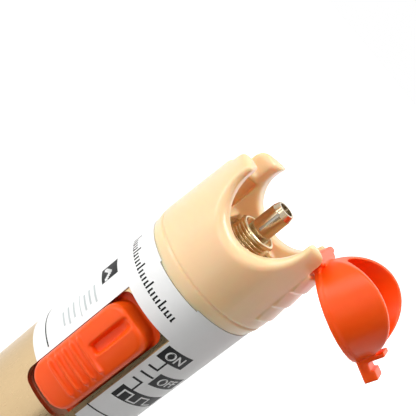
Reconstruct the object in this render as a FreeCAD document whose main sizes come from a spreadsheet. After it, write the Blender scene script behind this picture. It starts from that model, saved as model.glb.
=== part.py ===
import FreeCAD, Part
import math
import os
import re

import Sketcher

# A pen-shaped visual fault locator, standing on its tail with the nose up (+Z).
# The origin is the centre of the tail's flat face. The slider looks towards -Y,
# the cap's hinge is at +X and its latch at -X. Heights marked "over the seam"
# are measured from the seam, the joint between the tube and the head. The seam's
# own height follows from what is stacked below it.
SIZES = {
    # barrel
    "tube_radius": 13.35,
    "tube_wall": 1.15,
    "label_length": 32.3,
    "label_thickness": 0.20,
    "label_recess": 0.15,
    "window_width": 10.9,
    "window_length": 27.9,
    "window_start": 8.0,
    "window_corner": 2.2,
    "label_margin": 1.0,
    "notch_width": 10.6,
    "notch_depth": 0.4,
    "seat_gap": 0.02,
    "slip_gap": 0.08,
    "moving_gap": 0.3,
    # head
    "head_height": 22.2,
    "band_radius": 13.85,
    "band_height": 2.4,
    "groove_width": 0.5,
    "groove_depth": 0.35,
    "nose_radius": 13.3,
    "head_bore": 9.8,
    "floor_height": 10.0,
    "floor_thickness": 4.2,
    "spigot_length": 7.0,
    "spigot_wall": 1.7,
    "scallop_radius": 7.9,
    "scallop_height": 20.6,
    "back_scallop_height": 19.6,
    "back_scallop_shift": 0.6,
    "back_prong_height": 20.4,
    "lip_chamfer": 1.3,
    "prong_round": 1.5,
    "prong_ease": 0.8,
    "core_depth": 1.2,
    "core_height": 16.6,
    "core_reach": 7.6,
    "hinge_slot_width": 12.4,
    "hinge_slot_floor": 17.5,
    "latch_slot_width": 10.0,
    "latch_slot_floor": 18.0,
    "hook_slot_width": 5.6,
    "rib_width": 13.0,
    "rib_start": 4.6,
    "rib_pitch": 4.1,
    "rib_rise": 0.35,
    "boss_radius": 6.4,
    "boss_depth": 2.0,
    # cap
    "hinge_offset": 10.2,
    "hinge_height": 20.1,
    "opening_angle": 195.0,
    "cap_height": 21.5,
    "cap_radius": 9.3,
    "cap_thickness": 1.2,
    "rim_height": 1.1,
    "skirt_inset": 0.3,
    "skirt_wall": 1.2,
    "skirt_radius": 9.0,
    "skirt_centre": 20.4,
    "knuckle_gap": 0.8,
    "knuckle_inner": 1.6,
    "knuckle_outer": 0.8,
    "knuckle_drop": 0.8,
    "trunnion_radius": 0.8,
    "trunnion_length": 1.4,
    "trunnion_gap": 0.06,
    "arm_width": 4.4,
    "arm_reach": 13.0,
    "arm_thickness": 1.9,
    "tab_length": 1.8,
    "tab_thickness": 2.6,
    "hook_place": 9.7,
    "hook_thickness": 0.9,
    "hook_drop": 5.2,
    # slider
    "slider_width": 10.3,
    "slider_length": 23.5,
    "slider_corner": 3.2,
    "slider_top": 15.1,
    "slider_edge": 0.6,
    "slider_travel": 2.0,
    "flange_width": 13.0,
    "flange_overlap": 0.9,
    "flange_thickness": 0.9,
    "flange_rise": 10.0,
    "finger_pitch": 1.9,
    "finger_thickness": 0.8,
    "finger_rise": 0.5,
    "finger_width": 7.6,
    "finger_start": 0.8,
    "recess_width": 1.9,
    "recess_length": 9.0,
    "recess_start": 2.0,
    "recess_shift": 0.3,
    "recess_depth": 1.5,
    "recess_slope": 7.0,
    "fork_width": 3.0,
    "fork_length": 5.0,
    "fork_reach": 3.9,
    "pocket_depth": 1.9,
    # switch and chassis
    "lever_size": 1.8,
    "lever_height": 4.2,
    "lever_foot": 2.8,
    "lever_clear": 0.1,
    "switch_width": 6.6,
    "switch_length": 12.7,
    "switch_height": 5.1,
    "switch_wall": 0.4,
    "switch_base_height": 2.6,
    "chassis_gap": 0.2,
    "chassis_wall": 1.6,
    "chassis_length": 33.7,
    "track_width": 13.6,
    "stem_slot_width": 3.8,
    "deck_height": 8.8,
    "deck_thickness": 1.5,
    "cradle_depth": 2.4,
    "rail_place": 7.6,
    "rail_depth": 1.9,
    "bulkhead_thickness": 2.0,
    "board_front": 0.9,
    "board_thickness": 1.2,
    "board_width": 19.4,
    "board_start": 10.5,
    "board_gap": 1.0,
    "board_screw_radius": 0.8,
    "board_screw_head": 1.2,
    "board_screw_cap": 0.9,
    "board_screw_depth": 2.6,
    "board_screw_place": 8.6,
    "board_screw_inset": 2.5,
    "chip_length": 5.0,
    "chip_width": 4.0,
    "chip_height": 1.5,
    "chip_place": 17.0,
    "capacitor_radius": 2.5,
    "capacitor_height": 5.5,
    "capacitor_place": 25.0,
    "trim_size": 4.6,
    "trim_height": 2.6,
    "trim_place": 33.0,
    "trim_slot": 0.6,
    # adapter and laser
    "flange_plate_width": 11.0,
    "flange_plate_length": 15.6,
    "flange_plate_height": 1.5,
    "flange_pocket_depth": 2.2,
    "thread_radius": 4.0,
    "thread_length": 4.15,
    "thread_chamfer": 0.35,
    "annulus_radius": 3.3,
    "annulus_depth": 3.5,
    "adapter_boss_radius": 4.5,
    "adapter_boss_length": 1.9,
    "sleeve_radius": 2.2,
    "sleeve_tip_radius": 1.9,
    "sleeve_tip_length": 1.2,
    "sleeve_height": 10.6,
    "sleeve_mouth_radius": 1.45,
    "sleeve_slit_width": 0.5,
    "sleeve_slit_length": 4.6,
    "sleeve_slit_place": 5.0,
    "ceramic_radius": 1.6,
    "ferrule_radius": 1.25,
    "ceramic_length": 11.4,
    "ceramic_slit": 0.5,
    "plate_screw_place": 6.1,
    "plate_screw_radius": 1.0,
    "plate_screw_head": 1.5,
    "plate_screw_cap": 0.8,
    "plate_screw_length": 3.4,
    "laser_length": 14.6,
    "laser_lap": 4.4,
    "laser_throat": 2.0,
    "lens_radius": 3.0,
    "lens_thickness": 2.0,
    "ring_thickness": 1.0,
    "ring_bore": 2.2,
    "lens_seat": 3.4,
    "diode_radius": 2.8,
    "diode_length": 4.5,
    # battery and tail
    "cell_radius": 7.1,
    "cell_length": 50.5,
    "nub_radius": 2.7,
    "nub_height": 1.2,
    "contact_thickness": 0.4,
    "contact_radius": 6.0,
    "liner_inner": 7.5,
    "liner_wall": 1.1,
    "liner_rib": 1.4,
    "tail_height": 14.0,
    "tail_base": 3.0,
    "tail_bore": 10.2,
    "tail_spigot_length": 6.0,
    "tail_chamfer": 1.0,
    "tail_groove": 0.4,
    "tail_groove_width": 0.8,
    "tail_groove_place": 4.0,
    "seal_radius": 0.55,
    "tail_plate_radius": 9.0,
    "tail_plate_thickness": 0.5,
    "spring_wire": 0.4,
    "spring_foot": 5.6,
    "spring_head": 3.0,
    "spring_turns": 4.0,
    "spring_room": 8.1,
}

DOC = FreeCAD.newDocument("VisualFaultLocator")
SHEET = DOC.addObject("Spreadsheet::Sheet", "Sizes")
NODES = []
ALONG_X = FreeCAD.Rotation(FreeCAD.Vector(0, 1, 0), 90)
ALONG_Y = FreeCAD.Rotation(FreeCAD.Vector(1, 0, 0), -90)
UPRIGHT = FreeCAD.Rotation()
CELL_FOOT = "(tail_base + tail_plate_thickness + spring_room)"
CHASSIS_LOW = f"({CELL_FOOT} + 2 * cell_length + contact_thickness)"
BOARD_LOW = f"({CHASSIS_LOW} + bulkhead_thickness + board_gap)"
SEAM = f"({CHASSIS_LOW} + chassis_length + moving_gap + spigot_length)"


def fill_sheet():
    """Write every driving size into the sheet under its own alias."""
    for row, (alias, number) in enumerate(SIZES.items(), start=1):
        SHEET.set(f"A{row}", alias)
        SHEET.set(f"B{row}", str(number))
        SHEET.setAlias(f"B{row}", alias)
    DOC.recompute()


def size(alias):
    """Return a driving size as a number, for shapes made by Part's functions."""
    return float(SHEET.get(alias))


def expr(text):
    """Point each alias in an expression at the sheet."""
    return re.sub(r"\b([a-z]+_[a-z_]+)\b", r"Sizes.\1", text)


def measure(text):
    """Work out a formula over the sheet as a number."""
    return float(SHEET.evalExpression(expr(text)))


def bind(thing, formulas):
    """Bind properties of an object to formulas over the sheet."""
    for prop, text in formulas.items():
        thing.setExpression(prop, expr(text))
    return thing


def place(thing, spot, turn):
    """Turn an object, then bind its base point."""
    thing.Placement = FreeCAD.Placement(FreeCAD.Vector(), turn)
    names = ("Placement.Base.x", "Placement.Base.y", "Placement.Base.z")
    return bind(thing, dict(zip(names, spot)))


def cylinder(name, radius, height, spot=("0", "0", "0"), turn=UPRIGHT):
    """Make a bound cylinder from its foot."""
    thing = DOC.addObject("Part::Cylinder", name)
    bind(thing, {"Radius": radius, "Height": height})
    return place(thing, spot, turn)


def box(name, extent, spot):
    """Make a bound box from its lowest corner."""
    thing = DOC.addObject("Part::Box", name)
    bind(thing, dict(zip(("Length", "Width", "Height"), extent)))
    return place(thing, spot, UPRIGHT)


def block(name, extent, middle):
    """Make a bound box that is centred in X and Y on a point and stands on it in Z."""
    length, width, height = extent
    centre_x, centre_y, foot = middle
    spot = (f"{centre_x} - ({length}) / 2", f"{centre_y} - ({width}) / 2", foot)
    return box(name, (length, width, height), spot)


def cut(name, base, tool):
    """Take one shape out of another."""
    thing = DOC.addObject("Part::Cut", name)
    thing.Base = base
    thing.Tool = tool
    return thing


def join(name, *shapes):
    """Fuse shapes into one."""
    thing = DOC.addObject("Part::MultiFuse", name)
    thing.Shapes = list(shapes)
    thing.Refine = True
    return thing


def common(name, *shapes):
    """Keep what shapes share."""
    thing = DOC.addObject("Part::MultiCommon", name)
    thing.Shapes = list(shapes)
    return thing


def rounded(name, base, alias, chosen):
    """Fillet those edges of a base that a test picks."""
    DOC.recompute()
    thing = DOC.addObject("Part::Fillet", name)
    thing.Base = base
    radius = size(alias)
    edges = enumerate(base.Shape.Edges, start=1)
    thing.Edges = [(index, radius, radius) for index, edge in edges if chosen(edge)]
    return thing


def chamfered(name, base, alias, chosen):
    """Bevel those edges of a base that a test picks."""
    DOC.recompute()
    thing = DOC.addObject("Part::Chamfer", name)
    thing.Base = base
    depth = size(alias)
    edges = enumerate(base.Shape.Edges, start=1)
    thing.Edges = [(index, depth, depth) for index, edge in edges if chosen(edge)]
    return thing


def along(edge, axis):
    """Say whether a straight edge runs along X (0), Y (1) or Z (2)."""
    if not isinstance(edge.Curve, Part.Line):
        return False
    return abs(abs(edge.Curve.Direction[axis]) - 1.0) < 1e-6


def sketch_on(body, name, role):
    """Attach a new sketch to one of the body's own origin planes."""
    sketch = body.newObject("Sketcher::SketchObject", name)
    plane = next(item for item in body.Origin.OriginFeatures if item.Role == role)
    sketch.AttachmentSupport = [(plane, "")]
    sketch.MapMode = "FlatFace"
    return sketch


def draw_outline(sketch, corners):
    """Draw a closed outline whose corners are bound formulas."""
    count = len(corners)
    angles = [2 * math.pi * index / count for index in range(count)]
    starts = [FreeCAD.Vector(math.cos(angle), math.sin(angle), 0) for angle in angles]
    first = sketch.GeometryCount
    for index in range(count):
        sketch.addGeometry(Part.LineSegment(starts[index], starts[(index + 1) % count]))
    for index in range(count):
        after = first + (index + 1) % count
        sketch.addConstraint(Sketcher.Constraint("Coincident", first + index, 2, after, 1))
    for index, corner in enumerate(corners):
        for kind, text in zip(("DistanceX", "DistanceY"), corner):
            rule = Sketcher.Constraint(kind, -1, 1, first + index, 1, 1.0)
            place_of_rule = sketch.addConstraint(rule)
            sketch.setExpression(f"Constraints[{place_of_rule}]", expr(text))


def turned(name, corners):
    """Revolve a profile of (radius, height) corners about the pen's axis."""
    body = DOC.addObject("PartDesign::Body", name)
    sketch = sketch_on(body, f"{name}_profile", "XZ_Plane")
    draw_outline(sketch, corners)
    turn = body.newObject("PartDesign::Revolution", f"{name}_turn")
    turn.Profile = sketch
    turn.ReferenceAxis = (sketch, ["V_Axis"])
    turn.Angle = 360
    body.Tip = turn
    return body


def keep(name, thing):
    """Name a finished piece and list it."""
    thing.Label = name
    NODES.append((name, thing))
    return thing


def over_seam(text):
    """Turn a height over the seam into a height over the tail."""
    return f"{SEAM} + {text}"


def window_middle():
    """Give the height of the slider window's centre."""
    return f"({SEAM} - window_start - window_length / 2)"


def rounded_prism(name, width, length, corner, depth):
    """Make an upright rounded rectangle in XZ that reaches from y = -depth to the axis."""
    spot = (f"-({width}) / 2", f"-({depth})", f"{window_middle()} - ({length}) / 2")
    raw = box(f"{name}_raw", (width, depth, length), spot)
    return rounded(name, raw, corner, lambda edge: along(edge, 1))


def barrel_tube():
    """Drawn tube with a window, a label recess and a locating notch at its front end."""
    bore = "tube_radius - tube_wall"
    recess = "tube_radius - label_recess"
    label_end = f"{SEAM} - label_length"
    tube = turned("tube_turned", [
        (bore, "tail_height"), ("tube_radius", "tail_height"), ("tube_radius", label_end),
        (recess, label_end), (recess, SEAM), (bore, SEAM),
    ])
    window = rounded_prism("tube_window", "window_width", "window_length",
                           "window_corner", "tube_radius + 1")
    notch = box("tube_notch", ("notch_width", "tube_radius + 1", "notch_depth + 1"),
                ("-notch_width / 2", "-tube_radius - 1", f"{SEAM} - notch_depth"))
    keep("barrel_tube", cut("tube_cut", tube, join("tube_tools", window, notch)))


def label_sleeve():
    """Wrapped label, cut out round the window and the notch."""
    inner = "tube_radius - label_recess + seat_gap"
    outer = f"{inner} + label_thickness"
    low = f"{SEAM} - label_length + seat_gap"
    sleeve = turned("label_turned", [
        (inner, low), (outer, low), (outer, SEAM), (inner, SEAM),
    ])
    opening = box("label_opening", ("window_width + label_margin", "tube_radius + 1",
                                    "label_length - window_start + 0.1"),
                  ("-window_width / 2", "-tube_radius - 1", f"{low} - 0.1"))
    notch = box("label_notch", ("notch_width", "tube_radius + 1", "notch_depth + 1"),
                ("-notch_width / 2", "-tube_radius - 1", f"{SEAM} - notch_depth"))
    keep("label_sleeve", cut("label_cut", sleeve, join("label_tools", opening, notch)))


def front_head():
    """Moulded head: band, groove, floor, scallops, prongs and the laser's boss."""
    spigot = "tube_radius - tube_wall - slip_gap"
    inner = f"{spigot} - spigot_wall"
    hole = "adapter_boss_radius + seat_gap"
    groove = "band_radius - groove_depth"
    floor_low = over_seam("floor_height - floor_thickness")
    head = turned("head_turned", [
        (inner, over_seam("-spigot_length")), (spigot, over_seam("-spigot_length")),
        (spigot, SEAM), ("tube_radius", SEAM),
        ("band_radius", over_seam("band_height")), (groove, over_seam("band_height")),
        (groove, over_seam("band_height + groove_width")),
        ("band_radius", over_seam("band_height + groove_width")),
        ("nose_radius", over_seam("head_height - 2 * prong_ease")),
        ("nose_radius - 0.3 * prong_ease", over_seam("head_height - 0.7 * prong_ease")),
        ("nose_radius - prong_ease", over_seam("head_height")),
        ("head_bore + 0.4 * prong_ease", over_seam("head_height")),
        ("head_bore", over_seam("head_height - 0.6 * prong_ease")),
        ("head_bore", over_seam("floor_height")), (hole, over_seam("floor_height")),
        (hole, over_seam("-boss_depth")), ("boss_radius", over_seam("-boss_depth")),
        ("boss_radius", floor_low), (inner, floor_low),
    ])
    scallops = [
        cylinder("front_scallop", "scallop_radius", "band_radius + 1",
                 ("0", "-band_radius - 1", over_seam("scallop_height")), ALONG_Y),
        cylinder("back_scallop", "scallop_radius", "band_radius + 1",
                 ("back_scallop_shift", "0", over_seam("back_scallop_height")), ALONG_Y),
    ]
    prong = box("back_prong_top", ("band_radius", "band_radius", "head_height"),
                ("hinge_slot_width / 2", "0", over_seam("back_prong_height")))
    latch = box("latch_slot", ("band_radius", "latch_slot_width", "head_height"),
                ("-band_radius - 1", "-latch_slot_width / 2", over_seam("latch_slot_floor")))
    hinge = box("hinge_slot", ("band_radius", "hinge_slot_width", "head_height"),
                ("1", "-hinge_slot_width / 2", over_seam("hinge_slot_floor")))
    hook = box("hook_slot", ("head_bore + core_depth", "hook_slot_width", "head_height"),
               ("-head_bore - core_depth", "-hook_slot_width / 2", over_seam("core_height - 0.1")))
    shaped = cut("head_shaped", head, join("head_openings", *scallops, prong, latch, hinge, hook))
    lipped = chamfered("head_lipped", shaped, "lip_chamfer", is_lip_edge)
    topped = rounded("head_topped", lipped, "prong_round", is_prong_corner)
    pocket = block("flange_pocket",
                   ("flange_plate_width + 2 * moving_gap", "flange_plate_length + 2 * moving_gap",
                    "flange_pocket_depth + 1"),
                   ("0", "0", plate_seat()))
    core = common("lobe_core",
                  cylinder("core_round", "head_bore + core_depth", "core_height - floor_height",
                           ("0", "0", over_seam("floor_height"))),
                  join("core_sides",
                       box("core_left", ("head_bore", "head_bore * 2", "head_height"),
                           ("-core_reach - head_bore", "-head_bore", SEAM)),
                       box("core_right", ("head_bore", "head_bore * 2", "head_height"),
                           ("core_reach", "-head_bore", SEAM))))
    dimple_reach = "hinge_slot_width + 2 * (trunnion_length - knuckle_gap + trunnion_gap)"
    dimples = cylinder("hinge_dimples", "trunnion_radius + trunnion_gap", dimple_reach,
                       ("hinge_offset", f"-({dimple_reach}) / 2", over_seam("hinge_height")),
                       ALONG_Y)
    screws = screw_pair("flange_screw_holes", "plate_screw_radius + seat_gap",
                        f"{plate_seat()} - plate_screw_length - 0.2", "plate_screw_length + 1")
    hollow = cut("head_hollow", topped, join("head_pockets", pocket, core, dimples, screws))
    tab = cut("head_tab", box("tab_block", ("notch_width - 2 * seat_gap", "tube_wall + 1",
                                            "notch_depth + 0.1"),
                              ("-notch_width / 2 + seat_gap", "-tube_radius - 1",
                               f"{SEAM} - notch_depth + seat_gap")),
              cylinder("tab_inner", spigot, "2 * notch_depth", ("0", "0", f"{SEAM} - notch_depth")))
    trimmed = common("tab_trimmed", tab, cylinder("tab_outer", "tube_radius", "head_height",
                                                  ("0", "0", f"{SEAM} - notch_depth")))
    keep("front_head", join("head_finished", hollow, trimmed, grip_ribs()))


def is_lip_edge(edge):
    """Pick the outer rim of both scallops, from which the thumb-soft lip is rolled."""
    middle = edge.valueAt((edge.FirstParameter + edge.LastParameter) / 2)
    low, high = edge.BoundBox.ZMin, edge.BoundBox.ZMax
    seam = measure(SEAM)
    inside_top = high <= seam + size("head_height") + 1e-3
    off_floor = low > seam + size("back_scallop_height") - size("scallop_radius") - 1e-3
    outside = math.hypot(middle.x, middle.y) > size("nose_radius") - 1e-3
    on_scallop = abs(middle.x) < size("scallop_radius") + size("back_scallop_shift")
    return inside_top and off_floor and outside and on_scallop and high - low > 1.0


def is_prong_corner(edge):
    """Pick the short radial edges at the top of each prong."""
    seam = measure(SEAM)
    tops = (seam + size("head_height"), seam + size("back_prong_height"))
    at_top = any(abs(edge.BoundBox.ZMin - top) < 1e-3 for top in tops)
    flat = edge.BoundBox.ZMax - edge.BoundBox.ZMin < 1e-3
    return at_top and flat and along(edge, 0)


def grip_ribs():
    """Saw-tooth grip ribs on the outside of the hinge lobe."""
    slope = "(band_radius - nose_radius) / (head_height - band_height - groove_width)"
    corners = []
    teeth = 3
    for index in range(teeth):
        foot = f"(band_height + rib_start + {index} * rib_pitch - rib_start / 3)"
        skin = f"band_radius - {slope} * ({foot} - band_height - groove_width)"
        corners.append((f"{skin} + rib_rise", over_seam(f"{foot}")))
        corners.append((f"{skin} - 0.1", over_seam(f"{foot} + rib_pitch * 0.9")))
    last = f"band_height + rib_start + {teeth} * rib_pitch - rib_start / 3"
    corners.append(("nose_radius - 0.6", over_seam(last)))
    corners.append(("nose_radius - 0.6", over_seam("band_height + rib_start - rib_start / 3")))
    teeth_ring = turned("rib_ring", corners)
    band = box("rib_band", ("band_radius * 2", "rib_width", "head_height"),
               ("0", "-rib_width / 2", SEAM))
    return common("rib_block", teeth_ring, band)


def plate_seat():
    """Give the height of the pocket floor on which the adapter flange rests."""
    return f"({SEAM} + floor_height - flange_pocket_depth)"


def screw_pair(name, radius, foot, height):
    """Two shafts through the adapter flange, in front of and behind its barrel."""
    shafts = [cylinder(f"{name}_{side}", radius, height,
                       ("0", f"{sign} * plate_screw_place", foot))
              for side, sign in (("front", "-1"), ("back", "1"))]
    return join(name, *shafts)


def dust_cap():
    """One moulding: disc, two skirts, knuckle with trunnions, arm, hook and thumb tab."""
    top = over_seam("cap_height")
    under = over_seam("cap_height - cap_thickness")
    rim = over_seam("cap_height - rim_height")
    outer = "cap_radius - skirt_inset"
    low = over_seam("skirt_centre - skirt_radius - 1")
    shell = turned("cap_turned", [
        ("0", top), ("cap_radius", top), ("cap_radius", rim), (outer, rim), (outer, low),
        (f"{outer} - skirt_wall", low), (f"{outer} - skirt_wall", under), ("0", under),
    ])
    petal = cylinder("cap_petal", "skirt_radius", "2 * cap_radius + 2",
                     ("0", "-cap_radius - 1", over_seam("skirt_centre")), ALONG_Y)
    plate = cylinder("cap_plate", "cap_radius + 1", "rim_height",
                     ("0", "0", rim))
    petals = common("cap_petals", shell, join("cap_keep", petal, plate))
    width = "(hinge_slot_width - 2 * knuckle_gap)"
    axle = over_seam("hinge_height")
    knuckle = box("cap_knuckle", ("knuckle_inner + knuckle_outer", width,
                                  "cap_height - hinge_height + knuckle_drop"),
                  ("hinge_offset - knuckle_inner", f"-{width} / 2", f"{axle} - knuckle_drop"))
    web = box("cap_web", ("hinge_offset - cap_radius + skirt_wall", width, "cap_thickness"),
              ("cap_radius - skirt_wall", f"-{width} / 2", under))
    pins = f"{width} + 2 * trunnion_length"
    trunnions = cylinder("cap_trunnions", "trunnion_radius", pins,
                         ("hinge_offset", f"-({pins}) / 2", axle), ALONG_Y)
    arm = box("cap_arm", ("arm_reach - cap_radius + 1", "arm_width", "arm_thickness"),
              ("-arm_reach", "-arm_width / 2", over_seam("cap_height - arm_thickness")))
    tab = box("cap_tab", ("tab_length", "arm_width", "tab_thickness"),
              ("-arm_reach", "-arm_width / 2", over_seam("cap_height - tab_thickness")))
    hook = box("cap_hook", ("hook_thickness", "arm_width", "hook_drop"),
               ("-hook_place", "-arm_width / 2", over_seam("cap_height - hook_drop")))
    moulded = join("cap_moulded", petals, knuckle, web, trunnions, arm, tab, hook)
    DOC.recompute()
    opened = DOC.addObject("Part::Feature", "cap_open")
    opened.Shape = moulded.Shape
    pivot = FreeCAD.Vector(size("hinge_offset"), 0, measure(over_seam("hinge_height")))
    swing = FreeCAD.Rotation(FreeCAD.Vector(0, 1, 0), size("opening_angle"))
    opened.Placement = FreeCAD.Placement(FreeCAD.Vector(), swing, pivot)
    keep("dust_cap", opened)


def slider_button():
    """Thumb slider: crowned body, finger ribs, ramped recess, flange and fork."""
    low = f"({window_middle()} - slider_length / 2)"
    base = "(flange_rise - flange_thickness)"
    body = common("slider_crowned",
                  rounded_prism("slider_body", "slider_width", "slider_length",
                                "slider_corner", "slider_top + 1"),
                  cylinder("slider_crown", "slider_top", "slider_length", ("0", "0", low)),
                  box("slider_front", ("slider_width", "slider_top", "slider_length"),
                      ("-slider_width / 2", f"-{base} - slider_top", low)))
    edged = chamfered("slider_edged", body, "slider_edge", is_crown_edge)
    bars = [box(f"finger_bar_{index}", ("finger_width", "slider_top + 1", "finger_thickness"),
                ("-finger_width / 2", "-slider_top - 1",
                 f"{window_middle()} + finger_start - {index} * finger_pitch"))
            for index in range(5)]
    crest = cylinder("finger_crest", "slider_top + finger_rise", "slider_length", ("0", "0", low))
    front = box("finger_front", ("finger_width", "slider_top", "slider_length"),
                ("-finger_width / 2", "-tube_radius - slider_top", low))
    fingers = common("finger_ribs", join("finger_bars", *bars), crest, front)
    flange = box("slider_flange", ("flange_width", "flange_thickness",
                                   "slider_length + 2 * flange_overlap"),
                 ("-flange_width / 2", "-flange_rise", f"{low} - flange_overlap"))
    fork = block("slider_fork", ("fork_width", "fork_reach + 0.1", "fork_length"),
                 ("0", f"-{base} + fork_reach / 2", f"{window_middle()} - fork_length / 2"))
    ramp = box("slider_recess", ("recess_width", "recess_depth + 2", "recess_length"),
               ("-recess_width / 2 - recess_shift", "-slider_top - 2",
                f"{window_middle()} + recess_start"))
    ramp.Placement.Rotation = FreeCAD.Rotation(FreeCAD.Vector(1, 0, 0), size("recess_slope"))
    pocket = block("fork_pocket", ("lever_size + 2 * lever_clear", "pocket_depth + 1",
                                   "lever_size + 2 * lever_clear"),
                   ("0", f"-{base} + fork_reach - pocket_depth + (pocket_depth + 1) / 2",
                    f"{window_middle()} - lever_size / 2 - lever_clear"))
    solid = join("slider_solid", edged, fingers, flange, fork)
    keep("slider_button", cut("slider_cut", solid, join("slider_tools", ramp, pocket)))


def is_crown_edge(edge):
    """Pick the edges that bound the slider's crowned top."""
    ends = [edge.valueAt(edge.FirstParameter), edge.valueAt(edge.LastParameter)]
    crown = size("slider_top") - 1e-3
    return all(math.hypot(point.x, point.y) > crown for point in ends)


def switch_lever():
    """Square lever of the slide switch, held in the slider's fork."""
    lever = block("lever_bar", ("lever_size", "lever_height", "lever_size"),
                  ("0", "-lever_foot - lever_height / 2", f"{window_middle()} - lever_size / 2"))
    keep("switch_lever", lever)


def switch_shell():
    """Folded metal shell of the slide switch with its lever slot."""
    low = f"({window_middle()} - switch_length / 2)"
    front = "(switch_height - board_front)"
    outside = box("switch_outside", ("switch_width", "switch_height", "switch_length"),
                  ("-switch_width / 2", f"-{front}", low))
    inside = box("switch_inside", ("switch_width - 2 * switch_wall", "switch_height",
                                   "switch_length - 2 * switch_wall"),
                 ("-switch_width / 2 + switch_wall", f"-{front} + switch_wall",
                  f"{low} + switch_wall"))
    run = "lever_size + 2 * slider_travel + 2 * moving_gap"
    slot = block("switch_slot", ("lever_size + 2 * moving_gap", "2 * switch_wall + 1", run),
                 ("0", f"-{front}", f"{window_middle()} - ({run}) / 2"))
    keep("switch_shell", cut("switch_cut", outside, join("switch_tools", inside, slot)))


def switch_base():
    """Insulating base that closes the slide switch against the board."""
    width = "switch_width - 2 * switch_wall - 2 * seat_gap"
    length = "(switch_length - 2 * switch_wall - 2 * seat_gap)"
    base = block("switch_base_block", (width, "switch_base_height", length),
                 ("0", "board_front - switch_base_height / 2", f"{window_middle()} - {length} / 2"))
    keep("switch_base", base)


def switch_chassis():
    """Half-tube carrier: slider track, stem slot, board rails and battery bulkhead."""
    outer = "(tube_radius - tube_wall - chassis_gap)"
    inner = f"({outer} - chassis_wall)"
    low = CHASSIS_LOW
    skin = cylinder("chassis_skin", outer, "chassis_length", ("0", "0", low))
    hollow = cylinder("chassis_hollow", inner, "chassis_length", ("0", "0", low))
    half = box("chassis_half", (f"2 * {outer}", f"{outer} + cradle_depth", "chassis_length"),
               (f"-{outer}", f"-{outer}", low))
    wall = common("chassis_wall", cut("chassis_ring", skin, hollow), half)
    plate = box("deck_plate", (f"2 * {outer}", "deck_thickness", "chassis_length"),
                (f"-{outer}", "-deck_height", low))
    rails = join("board_rails",
                 box("left_rail", (f"{outer} - rail_place", "rail_depth", "chassis_length"),
                     (f"-{outer}", "board_front - rail_depth", low)),
                 box("right_rail", (f"{outer} - rail_place", "rail_depth", "chassis_length"),
                     ("rail_place", "board_front - rail_depth", low)))
    inside = cylinder("chassis_fill", f"{inner} + 0.1", "chassis_length", ("0", "0", low))
    braces = common("chassis_braces", join("deck_and_rails", plate, rails), inside)
    bulkhead = cylinder("chassis_bulkhead", outer, "bulkhead_thickness", ("0", "0", low))
    track_length = "slider_length + 2 * (flange_overlap + slider_travel + moving_gap)"
    track = box("slider_track", ("track_width", f"{outer}", track_length),
                ("-track_width / 2", f"-deck_height - {outer}",
                 f"{window_middle()} - ({track_length}) / 2"))
    stem_length = "fork_length + 2 * (slider_travel + moving_gap)"
    stem = box("stem_slot", ("stem_slot_width", "deck_thickness + 1", stem_length),
               ("-stem_slot_width / 2", "-deck_height - 0.5",
                f"{window_middle()} - ({stem_length}) / 2"))
    holes = board_screw_shafts("rail_holes", "board_screw_radius + seat_gap",
                               "board_screw_depth + 0.2")
    solid = join("chassis_solid", wall, braces, bulkhead)
    keep("switch_chassis", cut("chassis_cut", solid, join("chassis_tools", track, stem, holes)))


def board_screw_shafts(name, radius, reach):
    """Two shafts along Y, at opposite corners of the board, from its back face forward."""
    back = "(board_front + board_thickness)"
    high = over_seam("-board_start - board_screw_inset")
    low = f"{BOARD_LOW} + board_screw_inset"
    spots = (("high", "board_screw_place", high), ("low", "-board_screw_place", low))
    shafts = [cylinder(f"{name}_{end}", radius, f"{reach}", (across, f"{back} - ({reach})", level),
                       ALONG_Y)
              for end, across, level in spots]
    return join(name, *shafts)


def circuit_board():
    """Driver board with its two screw holes."""
    length = f"{SEAM} - board_start - {BOARD_LOW}"
    plate = block("board_plate", ("board_width", "board_thickness", length),
                  ("0", "board_front + board_thickness / 2", BOARD_LOW))
    holes = board_screw_shafts("board_holes", "board_screw_radius + seat_gap",
                               "board_thickness + 0.5")
    keep("circuit_board", cut("board_cut", plate, holes))


def board_screws():
    """Two pan-head screws that hold the board on the chassis rails."""
    shafts = board_screw_shafts("board_shafts", "board_screw_radius", "board_screw_depth")
    back = "(board_front + board_thickness)"
    high = over_seam("-board_start - board_screw_inset")
    low = f"{BOARD_LOW} + board_screw_inset"
    heads = join("board_heads",
                 cylinder("board_head_high", "board_screw_head", "board_screw_cap",
                          ("board_screw_place", back, high), ALONG_Y),
                 cylinder("board_head_low", "board_screw_head", "board_screw_cap",
                          ("-board_screw_place", back, low), ALONG_Y))
    keep("board_screws", join("board_screws_joined", shafts, heads))


def board_parts():
    """Chip, capacitor and trimming potentiometer on the back of the board."""
    back = "(board_front + board_thickness)"
    chip = block("chip_block", ("chip_width", "chip_height", "chip_length"),
                 ("0", f"{back} + chip_height / 2", over_seam("-chip_place - chip_length / 2")))
    keep("driver_chip", chip)
    can = cylinder("capacitor_can", "capacitor_radius", "capacitor_height",
                   ("0", back, over_seam("-capacitor_place")), ALONG_Y)
    keep("smoothing_capacitor", can)
    body = block("trim_block", ("trim_size", "trim_height", "trim_size"),
                 ("0", f"{back} + trim_height / 2", over_seam("-trim_place - trim_size / 2")))
    slot = block("trim_slot_cut", ("trim_slot", "2 * trim_slot", "trim_size - 2 * trim_slot"),
                 ("0", f"{back} + trim_height",
                  over_seam("-trim_place - trim_size / 2 + trim_slot")))
    keep("trim_potentiometer", cut("trim_cut", body, slot))


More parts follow.
